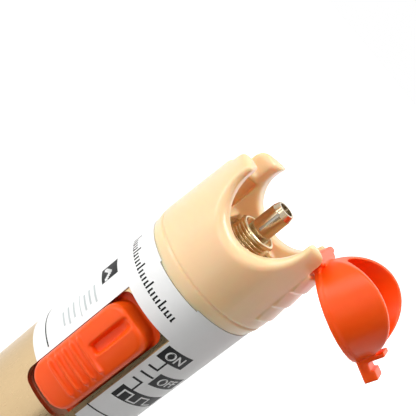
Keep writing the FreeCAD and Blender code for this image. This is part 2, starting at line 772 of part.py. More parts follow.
def laser_holder():
    """Turned brass holder: diode bore, throat and the lens's counterbore."""
    high = over_seam("floor_height - laser_lap")
    low = over_seam("floor_height - laser_lap - laser_length")
    diode = "diode_radius + seat_gap"
    lens = "lens_radius + seat_gap"
    holder = turned("laser_turned", [
        (diode, low), ("adapter_boss_radius", low), ("adapter_boss_radius", high), (lens, high),
        (lens, f"{high} - lens_seat"), ("laser_throat", f"{high} - lens_seat"),
        ("laser_throat", f"{low} + diode_length"), (diode, f"{low} + diode_length"),
    ])
    keep("laser_holder", holder)
    seat = f"{high} - lens_seat"
    keep("collimator_lens", cylinder("lens_disc", "lens_radius", "lens_thickness",
                                     ("0", "0", seat)))
    foot = f"{seat} + lens_thickness"
    top = f"{foot} + ring_thickness"
    keep("lens_ring", turned("ring_turned", [
        ("ring_bore", foot), ("lens_radius", foot), ("lens_radius", top), ("ring_bore", top),
    ]))
    keep("laser_diode", cylinder("diode_can", "diode_radius", "diode_length", ("0", "0", low)))


def adapter():
    """Screw-on fibre adapter: flange, threaded barrel, split sleeve and its holder."""
    seat = plate_seat()
    top = f"{seat} + flange_plate_height"
    high = f"{top} + thread_length"
    low = f"{seat} - adapter_boss_length"
    bore = "sleeve_radius + seat_gap"
    small = "ceramic_radius + seat_gap"
    barrel = turned("adapter_turned", [
        (small, low), ("adapter_boss_radius", low), ("adapter_boss_radius", f"{seat} + 0.5"),
        ("thread_radius", f"{seat} + 0.5"), ("thread_radius", f"{high} - thread_chamfer"),
        ("thread_radius - thread_chamfer", high), ("annulus_radius", high),
        ("annulus_radius", f"{high} - annulus_depth"), (bore, f"{high} - annulus_depth"),
        (bore, top), (small, top),
    ])
    plate = block("flange_plate", ("flange_plate_width", "flange_plate_length",
                                   "flange_plate_height"), ("0", "0", seat))
    hub = cylinder("flange_hub", "thread_radius - 0.1", "flange_plate_height", ("0", "0", seat))
    holes = screw_pair("flange_holes", "plate_screw_radius + seat_gap", f"{seat} - 0.1",
                       "flange_plate_height + 0.2")
    ring = cut("flange_ring", plate, hub)
    keep("adapter_barrel", cut("adapter_cut", join("adapter_solid", barrel, ring), holes))
    shafts = screw_pair("flange_shafts", "plate_screw_radius", f"{seat} - plate_screw_length",
                        "plate_screw_length + flange_plate_height")
    heads = [cylinder(f"flange_head_{side}", "plate_screw_head", "plate_screw_cap",
                      ("0", f"{sign} * plate_screw_place", top))
             for side, sign in (("front", "-1"), ("back", "1"))]
    keep("adapter_screws", join("adapter_screws_joined", shafts, *heads))
    tip = f"({top} + sleeve_height)"
    ceramic_top = f"{tip} - sleeve_tip_length - 0.3"
    sleeve = turned("sleeve_turned", [
        (small, top), ("sleeve_radius", top), ("sleeve_radius", f"{tip} - sleeve_tip_length"),
        ("sleeve_tip_radius", tip), ("sleeve_mouth_radius", tip),
        ("sleeve_mouth_radius", ceramic_top), (small, ceramic_top),
    ])
    slit = box("sleeve_slit", ("sleeve_slit_width", "sleeve_radius", "sleeve_slit_length"),
               ("-sleeve_slit_width / 2", "-sleeve_radius - 0.1", f"{top} + sleeve_slit_place"))
    keep("ferrule_sleeve", cut("sleeve_cut", sleeve, slit))
    foot = f"({ceramic_top} - ceramic_length)"
    split = turned("ceramic_turned", [
        ("ferrule_radius", foot), ("ceramic_radius", foot), ("ceramic_radius", ceramic_top),
        ("ferrule_radius", ceramic_top),
    ])
    gap = box("ceramic_gap", ("2 * ceramic_radius", "ceramic_slit", "ceramic_length + 1"),
              ("0", "-ceramic_slit / 2", f"{foot} - 0.5"))
    keep("ceramic_sleeve", cut("ceramic_cut", split, gap))


def batteries():
    """Front contact, two cells and the ribbed liner that centres them."""
    low = CHASSIS_LOW
    stack = f"({low} - contact_thickness)"
    keep("front_contact", cylinder("contact_disc", "contact_radius", "contact_thickness",
                                   ("0", "0", stack)))
    for name, count in (("battery_front", 1), ("battery_rear", 2)):
        foot = f"({stack} - {count} * cell_length)"
        shoulder = f"{foot} + cell_length - nub_height"
        can = cylinder(f"{name}_can", "cell_radius", "cell_length - nub_height", ("0", "0", foot))
        nub = cylinder(f"{name}_nub", "nub_radius", "nub_height", ("0", "0", shoulder))
        keep(name, join(f"{name}_joined", can, nub))
    foot = "(tail_height + tail_spigot_length + moving_gap)"
    length = f"({low} - {foot} - moving_gap)"
    inner = cylinder("liner_bore", "liner_inner", length, ("0", "0", foot))
    shell = cylinder("liner_shell", "liner_inner + liner_wall", length, ("0", "0", foot))
    reach = "(tube_radius - tube_wall - chassis_gap)"
    ribs = []
    for index in range(3):
        rib = block(f"liner_rib_{index}", (f"2 * {reach}", "liner_rib", length), ("0", "0", foot))
        centre = FreeCAD.Vector(0, 0, 0)
        ribs.append(turned_copy(rib, 60.0 * index, centre))
    rim = cylinder("liner_rim", reach, length, ("0", "0", foot))
    web = common("liner_web", join("liner_ribs", *ribs), rim)
    keep("battery_liner", cut("liner_cut", join("liner_solid", shell, web), inner))


def turned_copy(thing, angle, centre):
    """Show a bound shape turned about the pen's axis through a Compound link."""
    link = DOC.addObject("Part::Compound", f"{thing.Name}_turned")
    link.Links = [thing]
    swing = FreeCAD.Rotation(FreeCAD.Vector(0, 0, 1), angle)
    link.Placement = FreeCAD.Placement(FreeCAD.Vector(), swing, centre)
    return link


def tail():
    """Tail cap with its spigot, seal, contact plate and conical spring."""
    spigot = "(tube_radius - tube_wall - slip_gap)"
    high = "tail_height + tail_spigot_length"
    seal_outer = "(tube_radius - tube_wall - 0.6 * slip_gap)"
    groove = f"({seal_outer} - 2 * seal_radius - seat_gap)"
    half = "(seal_radius + seat_gap)"
    middle = "(tail_height + tail_spigot_length / 2)"
    cut_in = "(tube_radius - tail_groove)"
    corners = [("0", "0"), ("tube_radius - tail_chamfer", "0"), ("tube_radius", "tail_chamfer")]
    corners += [("tube_radius", "tail_groove_place"), (cut_in, "tail_groove_place"),
                (cut_in, "tail_groove_place + tail_groove_width"),
                ("tube_radius", "tail_groove_place + tail_groove_width")]
    corners += [("tube_radius", "tail_height"), (spigot, "tail_height"),
                (spigot, f"{middle} - {half}"), (groove, f"{middle} - {half}"),
                (groove, f"{middle} + {half}"), (spigot, f"{middle} + {half}"),
                (spigot, high), ("tail_bore", high), ("tail_bore", "tail_base"),
                ("0", "tail_base")]
    keep("tail_cap", turned("tail_turned", corners))
    ring = []
    for turn in (math.tau * index / 8 for index in range(8)):
        ring.append((f"{seal_outer} - seal_radius * (1 - {math.cos(turn):.4f})",
                     f"{middle} + seal_radius * ({math.sin(turn):.4f})"))
    keep("tail_seal", turned("seal_turned", ring))
    keep("tail_contact", cylinder("tail_plate", "tail_plate_radius", "tail_plate_thickness",
                                  ("0", "0", "tail_base")))


def tail_spring():
    """Conical contact spring between the tail's plate and the rear cell."""
    foot = size("tail_base") + size("tail_plate_thickness") + size("spring_wire")
    rise = size("spring_room") - 2 * size("spring_wire")
    turns = size("spring_turns")
    taper = math.degrees(math.atan2(size("spring_head") - size("spring_foot"), rise))
    path = Part.makeHelix(rise / turns, rise, size("spring_foot"), taper)
    start = FreeCAD.Vector(size("spring_foot"), 0, 0)
    corners = [start + FreeCAD.Vector(math.cos(turn), 0, math.sin(turn)) * size("spring_wire")
               for turn in [math.tau * index / 4 for index in range(5)]]
    wire = Part.makePolygon(corners)
    coil = Part.Wire(path).makePipeShell([wire], True, True)
    coil.translate(FreeCAD.Vector(0, 0, foot))
    spring = DOC.addObject("Part::Feature", "spring_coil")
    spring.Shape = coil
    keep("tail_spring", spring)


def main():
    """Build every piece, test it and write its file."""
    fill_sheet()
    barrel_tube()
    label_sleeve()
    front_head()
    dust_cap()
    slider_button()
    switch_lever()
    switch_shell()
    switch_base()
    switch_chassis()
    circuit_board()
    board_screws()
    board_parts()
    laser_holder()
    adapter()
    batteries()
    tail()
    tail_spring()
    DOC.recompute()
    for thing in DOC.Objects:
        if "Invalid" in thing.State or "Error" in thing.State:
            raise RuntimeError(f"{thing.Name} is {thing.State}")
    for name, thing in NODES:
        if thing.Shape.isNull() or not thing.Shape.isValid():
            raise RuntimeError(f"{name} has no valid shape")
    os.makedirs("parts", exist_ok=True)
    for name, thing in NODES:
        thing.Shape.exportStep(f"parts/{name}.step")
        print(name, len(thing.Shape.Solids), round(thing.Shape.Volume, 1))


main()
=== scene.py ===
"""Looks of a pen-shaped visual fault locator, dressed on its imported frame.

The pen stands on its tail. Heights are worked out from the seam between the tube
and the moulded head, and every driving size below is in millimetres.
"""

import logging
import math
from dataclasses import dataclass
from enum import Enum
from typing import Any

import bmesh
import bpy
import numpy as np
from mathutils import Matrix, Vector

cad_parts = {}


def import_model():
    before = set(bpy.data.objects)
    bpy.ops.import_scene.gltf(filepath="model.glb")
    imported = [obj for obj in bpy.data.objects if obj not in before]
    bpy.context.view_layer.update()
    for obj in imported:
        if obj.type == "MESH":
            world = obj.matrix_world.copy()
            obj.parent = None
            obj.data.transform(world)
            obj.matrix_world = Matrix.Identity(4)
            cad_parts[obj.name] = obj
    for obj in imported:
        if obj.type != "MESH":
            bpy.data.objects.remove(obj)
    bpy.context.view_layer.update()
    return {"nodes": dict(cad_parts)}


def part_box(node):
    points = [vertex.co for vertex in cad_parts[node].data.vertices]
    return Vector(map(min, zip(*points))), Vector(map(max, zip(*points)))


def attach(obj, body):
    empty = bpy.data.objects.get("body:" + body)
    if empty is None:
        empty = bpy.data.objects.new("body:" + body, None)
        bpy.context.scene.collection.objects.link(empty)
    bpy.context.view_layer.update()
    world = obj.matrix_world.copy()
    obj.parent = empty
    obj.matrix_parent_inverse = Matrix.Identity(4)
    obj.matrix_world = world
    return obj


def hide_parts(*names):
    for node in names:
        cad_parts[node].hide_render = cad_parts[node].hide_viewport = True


MM = 0.001
Rectangle = tuple[float, float, float, float]
LOG = logging.getLogger("fault_locator")
# Width of the soft patches in which a moulded or coated colour drifts.
MOTTLE_MM = 5.0
# The noise values that the colour and roughness ranges span.
NOISE_LOW, NOISE_HIGH = 0.2, 0.8
# Height of the finest relief at full bump.
RELIEF_MM = 0.02
# Red light travels furthest under a pale plastic's surface, and blue least.
SCATTER_SHARES = (1.0, 0.5, 0.28)
COAT_ROUGHNESS = 0.08
# Most quads in one skin, so that it stays under 200,000 triangles.
MOST_QUADS = 95_000
# Corners of a solid's loose triangles nearer than this are one corner.
WELD_MM = 0.002
# The camera's place from the centre of the seam, and its right, up and back directions.
CAMERA_MM = (14.268, -144.243, 58.082)
CAMERA_TURN = (
    (0.58861, 0.34803, 0.72966),
    (-0.79393, 0.07878, 0.60288),
    (0.15233, -0.93417, 0.32268),
)


# ---------------------------------------------------------------- node helpers


def linear(hex_code: str) -> tuple[float, float, float, float]:
    """Turn an sRGB hex colour into linear light, channel by channel.

    Args:
        hex_code: colour written as "#RRGGBB".

    Returns:
        Red, green, blue and an alpha of one.
    """
    shares = [int(hex_code[at : at + 2], 16) / 255.0 for at in (1, 3, 5)]
    light = [s / 12.92 if s <= 0.04045 else ((s + 0.055) / 1.055) ** 2.4 for s in shares]
    return (light[0], light[1], light[2], 1.0)


def add_node(
    material: bpy.types.Material | bpy.types.World,
    kind: str,
    settings: dict[str, Any] | None = None,
    sockets: dict[Any, Any] | None = None,
) -> bpy.types.Node:
    """Add a node to a material or world, with its settings, socket values and links.

    Args:
        material: the material or world that gets the node.
        kind: Blender's name for the node type.
        settings: properties of the node itself.
        sockets: input name or number to a value, or to an output socket to link from.

    Returns:
        The new node.
    """
    node = material.node_tree.nodes.new(kind)
    for name, value in (settings or {}).items():
        setattr(node, name, value)
    for name, value in (sockets or {}).items():
        if isinstance(value, bpy.types.NodeSocket):
            material.node_tree.links.new(value, node.inputs[name])
        else:
            node.inputs[name].default_value = value
    return node


class Grain(Enum):
    """How a surface was made, which decides the way its fine pattern runs."""

    MOULDED = "moulded or coated, with no direction"
    DRAWN = "drawn, with lines along the pen"
    TURNED = "turned, with rings round the axis"


@dataclass(frozen=True)
class Finish:
    """A material: what it is, its colours and how its surface was made.

    Attributes:
        name: the real material's name.
        colour: sRGB hex of the surface.
        tint: sRGB hex of its lightest or most worn patches.
        roughness: middle of the roughness range.
        metallic: one for bare metal.
        grain: the pattern family.
        grain_mm: real size of the finest pattern, in millimetres.
        bump: strength of the relief, from 0 to 1.
        clear: strength of a clear coat.
        depth: share of light that scatters under the surface.
        scatter_mm: how far that light travels.
        ior: index of refraction, left at the default for metal.
        transmission: share of light that passes through.
    """

    name: str
    colour: str
    tint: str
    roughness: float
    metallic: float = 0.0
    grain: Grain = Grain.MOULDED
    grain_mm: float = 0.35
    bump: float = 0.1
    clear: float = 0.0
    depth: float = 0.0
    scatter_mm: float = 1.0
    ior: float = 1.5
    transmission: float = 0.0

    def stretch(self) -> tuple[float, float, float]:
        """Give how much finer the pattern is along X, Y and Z."""
        if self.grain is Grain.DRAWN:
            return (1.0, 1.0, 0.06)
        if self.grain is Grain.TURNED:
            return (0.02, 0.02, 1.0)
        return (1.0, 1.0, 1.0)

    def bare_metal(self) -> bool:
        """Tell whether light meets metal rather than plastic, ink or glass."""
        return self.metallic > 0.5

    def wander(self) -> float:
        """Give how far roughness strays from its middle: more on bare metal."""
        return 0.06 if self.bare_metal() else 0.02

    def build(self) -> bpy.types.Material:
        """Make the node tree: mottled colour, varied roughness and a fine relief.

        Colour mixes the two hexes by a soft noise a few millimetres wide. Roughness
        rises and falls a little with the same noise. Relief comes from a noise as fine
        as the real grain, stretched along the tool's path.

        Returns:
            The finished material.
        """
        material = bpy.data.materials.new(self.name)
        material.use_nodes = True
        material.node_tree.nodes.clear()
        place = add_node(material, "ShaderNodeTexCoord").outputs["Object"]
        scaled = add_node(
            material,
            "ShaderNodeMapping",
            {"vector_type": "POINT"},
            {"Vector": place, "Scale": self.stretch()},
        ).outputs["Vector"]
        mottle = add_node(
            material,
            "ShaderNodeTexNoise",
            None,
            {
                "Vector": place,
                "Scale": 1.0 / (MOTTLE_MM * MM),
                "Detail": 3.0,
                "Roughness": 0.5,
            },
        ).outputs["Fac"]
        fine = add_node(
            material,
            "ShaderNodeTexNoise",
            None,
            {"Vector": scaled, "Scale": 1.0 / (self.grain_mm * MM), "Detail": 2.0},
        ).outputs["Fac"]
        spread = add_node(
            material,
            "ShaderNodeMapRange",
            None,
            {"Value": mottle, "From Min": NOISE_LOW, "From Max": NOISE_HIGH},
        ).outputs["Result"]
        hue = add_node(
            material,
            "ShaderNodeMix",
            {"data_type": "RGBA"},
            {"Factor": spread, 6: linear(self.colour), 7: linear(self.tint)},
        ).outputs[2]
        rough = add_node(
            material,
            "ShaderNodeMapRange",
            None,
            {
                "Value": fine if self.bare_metal() else mottle,
                "From Min": NOISE_LOW,
                "From Max": NOISE_HIGH,
                "To Min": max(self.roughness - self.wander(), 0.02),
                "To Max": min(self.roughness + self.wander(), 1.0),
            },
        ).outputs["Result"]
        relief = add_node(
            material,
            "ShaderNodeBump",
            None,
            {"Height": fine, "Strength": self.bump, "Distance": RELIEF_MM * MM},
        ).outputs["Normal"]
        sockets: dict[Any, Any] = {
            "Base Color": hue,
            "Roughness": rough,
            "Metallic": self.metallic,
            "Normal": relief,
            "Coat Weight": self.clear,
            "Coat Roughness": COAT_ROUGHNESS,
        }
        if not self.bare_metal():
            sockets["IOR"] = self.ior
        if self.depth > 0.0:
            sockets["Subsurface Weight"] = self.depth
            sockets["Subsurface Scale"] = self.scatter_mm * MM
            sockets["Subsurface Radius"] = SCATTER_SHARES
        if self.transmission > 0.0:
            sockets["Transmission Weight"] = self.transmission
        shader = add_node(material, "ShaderNodeBsdfPrincipled", None, sockets)
        add_node(
            material, "ShaderNodeOutputMaterial", None, {"Surface": shader.outputs["BSDF"]}
        )
        return material


# Moulded ABS: even colour, soft gloss and the faint ripple of a polished mould.
CREAM_ABS = Finish(
    "cream_abs_moulded", "#F5D0A0", "#F6D3A5", 0.32,
    bump=0.03, clear=0.25, depth=0.8, scatter_mm=2.6,
)
# Polypropylene lets a little light in, so its thin edges glow.
ORANGE_PP = Finish(
    "orange_polypropylene_moulded", "#FF5508", "#FF5A0D", 0.36, bump=0.03, depth=0.4, ior=1.36
)
# Bead-blasted and anodised: satin, with very faint lines along the drawn tube.
GOLD_ANODISED = Finish(
    "champagne_anodised_aluminium", "#BDA47E", "#C0A782", 0.30, 1.0, Grain.DRAWN, 0.12, 0.10
)
# Polyester label film under a satin varnish.
WHITE_FILM = Finish(
    "white_polyester_label_film", "#EDEDEC", "#F2F2F1", 0.42, grain_mm=0.6, bump=0.03, clear=0.1
)
# Screen inks lie dull on the varnish, with the slight tooth of the mesh.
BLACK_INK = Finish(
    "black_screen_ink", "#0D0D0E", "#141415", 0.5, grain_mm=0.15, bump=0.05, ior=1.33
)
WHITE_INK = Finish("white_screen_ink", "#E9E9E8", "#F0F0EF", 0.45, grain_mm=0.15, bump=0.05)
GREY_INK = Finish("grey_screen_ink", "#B9BFC0", "#C8CCCD", 0.5, grain_mm=0.15, bump=0.05)
# Turning leaves rings finer than these, which are as coarse as they need to be to show.
# Nickel over turned brass: mirror bright, with a warm, darker cast that is partly the plating's own
# and partly a painted reflection of the cream head around the sleeve.
NICKEL_WITH_PAINTED_HEAD_REFLECTION = Finish(
    "nickel_brass_with_painted_head_reflection", "#BBA98E", "#CBBBA2", 0.20, 1.0, Grain.TURNED, 0.06, 0.25
)
# A thin nickel flash lets the brass of the thread show through as yellow.
THIN_NICKEL = Finish(
    "thin_nickel_on_brass_thread", "#C8B48C", "#D8C7A4", 0.22, 1.0, Grain.TURNED, 0.06, 0.2
)
# Bare turned brass: deeper yellow, a little duller than its plated neighbours.
BRASS = Finish("brass_turned", "#C2A063", "#D3B57B", 0.26, 1.0, Grain.TURNED, 0.06, 0.25)
# Zinc plate on steel: cool grey and slightly cloudy.
ZINC_STEEL = Finish("zinc_plated_steel", "#A9ABAD", "#C1C3C4", 0.30, 1.0, Grain.TURNED, 0.08, 0.2)
# Rolled sheet keeps straight lines from the mill.
SHEET_BRASS = Finish(
    "stamped_brass_sheet", "#C7A35A", "#D8B873", 0.32, 1.0, Grain.DRAWN, 0.12, 0.15
)
# A drawn can is bright and smooth, with faint rings from its die.
CAN_ALUMINIUM = Finish(
    "drawn_aluminium_can", "#BFC2C5", "#CFD2D4", 0.28, 1.0, Grain.TURNED, 0.1, 0.15
)
# Polished zirconia: warm white, glossy and slightly milky.
ZIRCONIA = Finish(
    "polished_zirconia", "#EFEAE0", "#F6F2EA", 0.12, bump=0.02, clear=0.4, depth=0.2, ior=2.1
)
# Nylon from a spark-eroded mould: near black with a fine dull grain.
BLACK_PA = Finish("black_nylon_moulded", "#151516", "#1E1E20", 0.48, bump=0.2, grain_mm=0.25)
# The inner mouldings are plain ABS, duller than the head's.
TAN_ABS = Finish("tan_abs_moulded", "#D9B08F", "#E2BC9D", 0.42, bump=0.12)
# The trimmer's housing: hard blue polyester with a clean gloss.
BLUE_PBT = Finish("blue_polyester_moulded", "#1F4FA8", "#2A5DB8", 0.35, bump=0.1)
# Solder mask over glass cloth: green and glossy, with the weave just felt under it.
FR4 = Finish(
    "green_glass_epoxy_laminate", "#0F5A34", "#18693F", 0.35, grain_mm=0.5, bump=0.15, clear=0.4
)
# Shrink film over a cell: dark, tight and shiny.
CELL_JACKET = Finish("printed_shrink_jacket", "#26282C", "#33363B", 0.3, bump=0.04, clear=0.5)
# Optical glass is clear, with nothing on its surface.
GLASS = Finish(
    "polished_optical_glass", "#EAF3F5", "#F2F8F9", 0.02, bump=0.0, transmission=0.95, ior=1.52
)
# Rubber from a mould: black, dull and a little rough.
NITRILE = Finish("nitrile_rubber_moulded", "#121212", "#1B1B1B", 0.6, bump=0.3, grain_mm=0.2)

NODE_FINISHES: dict[str, Finish] = {
    "barrel_tube": GOLD_ANODISED,
    "tail_cap": GOLD_ANODISED,
    "label_sleeve": WHITE_FILM,
    "front_head": CREAM_ABS,
    "dust_cap": ORANGE_PP,
    "slider_button": ORANGE_PP,
    "switch_lever": BLACK_PA,
    "switch_base": BLACK_PA,
    "driver_chip": BLACK_PA,
    "switch_shell": ZINC_STEEL,
    "board_screws": ZINC_STEEL,
    "adapter_screws": ZINC_STEEL,
    "laser_diode": ZINC_STEEL,
    "tail_spring": ZINC_STEEL,
    "switch_chassis": TAN_ABS,
    "battery_liner": TAN_ABS,
    "circuit_board": FR4,
    "smoothing_capacitor": CAN_ALUMINIUM,
    "trim_potentiometer": BLUE_PBT,
    "laser_holder": BRASS,
    "lens_ring": BRASS,
    "adapter_barrel": BRASS,
    "collimator_lens": GLASS,
    # The sleeve's warm, darker colour is partly a painted reflection of the cream head.
    "ferrule_sleeve": NICKEL_WITH_PAINTED_HEAD_REFLECTION,
    "ceramic_sleeve": ZIRCONIA,
    "front_contact": SHEET_BRASS,
    "tail_contact": SHEET_BRASS,
    "battery_front": CELL_JACKET,
    "battery_rear": CELL_JACKET,
    "tail_seal": NITRILE,
}


# ---------------------------------------------------------------- mesh helpers


def grid_faces(rows: int, columns: int, closed: bool) -> np.ndarray:
    """List the quads of a grid of points, by array arithmetic on the point numbers.

    Each quad joins point (i, j) to (i, j+1), (i+1, j+1) and (i+1, j), and the last
    column joins the first where the grid is closed.

    Args:
        rows: points along the first parameter.
        columns: points along the second parameter.
        closed: whether the last column joins the first.

    Returns:
        An array of four point numbers a quad.
    """
    row = np.arange(rows - 1)[:, None] * columns
    column = np.arange(columns if closed else columns - 1)[None, :]
    beside = (column + 1) % columns
    quads = [row + column, row + beside, row + columns + beside, row + columns + column]
    return np.stack(np.broadcast_arrays(*quads), axis=-1).reshape(-1, 4)


def mesh_piece(
    name: str, points: np.ndarray, faces: np.ndarray, finish: bpy.types.Material
) -> bpy.types.Object:
    """Put points and quads into a new, smoothly shaded mesh object at the origin.

    Args:
        name: the piece's name.
        points: an array of x, y, z in metres.
        faces: an array of point numbers, four a face.
        finish: the piece's material.

    Returns:
        The new object.
    """
    mesh = bpy.data.meshes.new(name)
    mesh.from_pydata(points.reshape(-1, 3).tolist(), [], faces.tolist())
    mesh.materials.append(finish)
    mesh.polygons.foreach_set("use_smooth", np.full(len(mesh.polygons), True))
    mesh.update()
    return placed(name, mesh)


def placed(name: str, mesh: bpy.types.Mesh) -> bpy.types.Object:
    """Put a mesh into the scene as an object at the origin.

    Args:
        name: the object's name.
        mesh: its mesh, already in place.

    Returns:
        The new object.
    """
    piece = bpy.data.objects.new(name, mesh)
    bpy.context.scene.collection.objects.link(piece)
    return piece


def places(mesh: bpy.types.Mesh) -> np.ndarray:
    """Read a mesh's points as rows of x, y and z."""
    points = np.empty(len(mesh.vertices) * 3)
    mesh.vertices.foreach_get("co", points)
    return points.reshape(-1, 3)


def on_barrel(across: np.ndarray, height: np.ndarray, radius: float, azimuth: float) -> np.ndarray:
    """Wrap flat places round the pen.

    A distance across the flat becomes an arc of the same length on the cylinder:
    angle = azimuth + across / radius, x = radius * sin(angle), y = -radius * cos(angle).

    Args:
        across: distances to the right, in metres.
        height: heights over the tail, in metres.
        radius: the cylinder's radius, in metres.
        azimuth: the angle of the zero, in radians, from the slider towards the hinge.

    Returns:
        An array of x, y, z.
    """
    angle = azimuth + across / radius
    return np.stack([radius * np.sin(angle), -radius * np.cos(angle), height], axis=-1)


# ---------------------------------------------------------------- sub-assemblies


@dataclass
class Label:
    """Generic print on the white label: switch positions, a scale band and rules.

    Angles are in degrees from the slider towards the hinge, and heights in
    millimetres over the seam. A rectangle is its left and right angle and its lower
    and upper edge.

    Attributes:
        seam: height of the seam between tube and head, in metres.
        radius: the label's outer radius, in metres.
        lift_mm: how far ink stands over the film.
        columns: points along each rectangle of ink.
        flags: the black rectangles behind the three switch positions.
        mark_mm: width of the lines that lead to the positions.
        marks: left and right angle and height of each such line.
        stems: the short uprights that join the outer lines to their flags.
        ring: the thin line round the label, cut into ring_parts rectangles.
        ring_parts: how many they are.
        words: name, word, angle and height of each printed word.
        capital_mm: height of the capitals.
        capital_share: the font's capital height over its nominal size.
        stroke_share: how much bolder than the font the strokes are, over the same.
        band: the rectangle of the scale band under the seam.
        band_line_mm: width of the band's base line.
        tick_step_mm: distance between ticks of the band.
        mark_field: the black rectangle of the fibre mark.
        chevron: start angle and height, run and rise of the mark's two arms.
        chevron_block: angle and height of the blocks that make an arm.
        rule: the longest faint rule of the small print.
        rules_mm: lower edges of the short faint rules.
        rule_mm: their width.
        pulse_start: angle at which the square wave begins.
        pulse_mm: low and high level of the wave.
        pulse_half: angle of half a wave.
        pulse_stroke: angle and height of its strokes.
    """

    seam: float
    radius: float
    lift_mm: float = 0.012
    columns: int = 13
    flags: tuple[Rectangle, ...] = (
        (31.5, 58.5, -11.9, -8.6),
        (48.0, 78.0, -17.9, -14.5),
        (33.4, 80.0, -23.9, -20.6),
    )
    mark_mm: float = 0.45
    marks: tuple[tuple[float, float, float], ...] = (
        (33.5, 43.8, -14.2),
        (33.5, 47.0, -16.2),
        (33.5, 43.8, -18.2),
    )
    stems: tuple[Rectangle, ...] = ((42.0, 43.8, -14.2, -11.9), (42.0, 43.8, -20.6, -18.2))
    ring: Rectangle = (27.6, 332.0, -28.85, -28.55)
    ring_parts: int = 18
    words: tuple[tuple[str, str, float, float], ...] = (
        ("label_word_on", "ON", 45.0, -10.25),
        ("label_word_off", "OFF", 63.0, -16.2),
    )
    capital_mm: float = 1.9
    capital_share: float = 0.69
    stroke_share: float = 0.02
    band: Rectangle = (-66.0, 18.0, -5.2, -3.2)
    band_line_mm: float = 0.3
    tick_step_mm: float = 0.8
    mark_field: Rectangle = (-60.0, -43.0, -13.4, -9.3)
    chevron: tuple[Rectangle, ...] = ((-57.5, -12.6, 6.0, 1.2), (-51.5, -11.4, 5.0, -1.2))
    chevron_block: tuple[float, float] = (3.0, 0.7)
    rule: Rectangle = (-52.0, -30.0, -19.5, -19.3)
    rules_mm: tuple[float, ...] = (-15.6, -17.0, -18.3, -21.2, -22.6, -24.0)
    rule_mm: float = 0.45
    pulse_start: float = 38.0
    pulse_mm: tuple[float, float] = (-23.2, -21.3)
    pulse_half: float = 9.0
    pulse_stroke: tuple[float, float] = (1.6, 0.35)

    def patch(self, left: float, right: float, low: float, high: float) -> np.ndarray:
        """Make a rectangle of ink that follows the cylinder.

        A point at an angle and height has x = radius * sin(angle), y = -radius *
        cos(angle) and z = seam + height.

        Args:
            left: first angle, in degrees.
            right: last angle, in degrees.
            low: lower edge, in millimetres over the seam.
            high: upper edge, in millimetres over the seam.

        Returns:
            A grid of points, two rows by as many columns as the label's print has.
        """
        angles = np.radians(np.linspace(left, right, self.columns))[None, :]
        heights = self.seam + np.array([low, high])[:, None] * MM
        radius = self.radius + self.lift_mm * MM
        angles, heights = np.broadcast_arrays(angles, heights)
        return np.stack([radius * np.sin(angles), -radius * np.cos(angles), heights], axis=-1)

    def ink(
        self, name: str, patches: list[np.ndarray], finish: bpy.types.Material
    ) -> bpy.types.Object:
        """Join patches of one ink into a piece that rides on the barrel.

        Args:
            name: the piece's name.
            patches: grids of points, all of one shape.
            finish: the ink's material.

        Returns:
            The printed piece.
        """
        points = np.stack(patches)
        quads = grid_faces(2, self.columns, False)
        offsets = np.arange(len(patches))[:, None, None] * (2 * self.columns)
        piece = mesh_piece(name, points, (quads[None] + offsets).reshape(-1, 4), finish)
        return self.fitted(piece)

    def fitted(self, piece: bpy.types.Object) -> bpy.types.Object:
        """Ride a printed piece on the barrel.

        Args:
            piece: the print.

        Returns:
            The same piece.
        """
        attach(piece, "barrel")
        return piece

    def lettering(
        self, name: str, word: str, azimuth: float, middle: float, finish: bpy.types.Material
    ) -> bpy.types.Object:
        """Print a word in capitals round the cylinder, its tops towards the nose.

        The flat word is made a mesh, centred on zero, and each of its points is wrapped
        by the arc formula of on_barrel.

        Args:
            name: the piece's name.
            word: what it says.
            azimuth: the angle of its middle, in degrees.
            middle: the height of its middle, in millimetres over the seam.
            finish: the ink's material.

        Returns:
            The printed piece.
        """
        curve = bpy.data.curves.new(f"{name}_flat", "FONT")
        curve.body = word
        curve.align_x = "CENTER"
        curve.size = self.capital_mm * MM / self.capital_share
        curve.offset = self.stroke_share * curve.size
        flat = bpy.data.objects.new(f"{name}_flat", curve)
        mesh = bpy.data.meshes.new_from_object(flat)
        bpy.data.objects.remove(flat)
        points = places(mesh)
        heights = self.seam + (middle - self.capital_mm / 2) * MM + points[:, 1]
        radius = self.radius + 2 * self.lift_mm * MM
        wrapped = on_barrel(points[:, 0], heights, radius, math.radians(azimuth))
        mesh.vertices.foreach_set("co", wrapped.ravel())
        mesh.materials.clear()
        mesh.materials.append(finish)
        mesh.update()
        return self.fitted(placed(name, mesh))

    def build(self) -> list[bpy.types.Object]:
        """Print everything.

        Returns:
            The printed pieces.
        """
        black, white, grey = BLACK_INK.build(), WHITE_INK.build(), GREY_INK.build()
        return [
            self.positions(black),
            self.scale_band(black),
            self.small_print(grey),
            self.pulse(white),
            *self.fibre_mark(black, white),
            *(self.lettering(*word, white) for word in self.words),
        ]

    def positions(self, finish: bpy.types.Material) -> bpy.types.Object:
        """Print the switch's flags and lines, and the thin line round the label.

        Args:
            finish: the ink's material.

        Returns:
            The print.
        """
        half = self.mark_mm / 2
        patches = [self.patch(*flag) for flag in self.flags]
        patches += [self.patch(left, right, at - half, at + half) for left, right, at in self.marks]
        patches += [self.patch(*stem) for stem in self.stems]
        first, last, *edges = self.ring
        cuts = np.linspace(first, last, self.ring_parts + 1)
        patches += [self.patch(left, right, *edges) for left, right in zip(cuts, cuts[1:])]
        return self.ink("label_black_print", patches, finish)

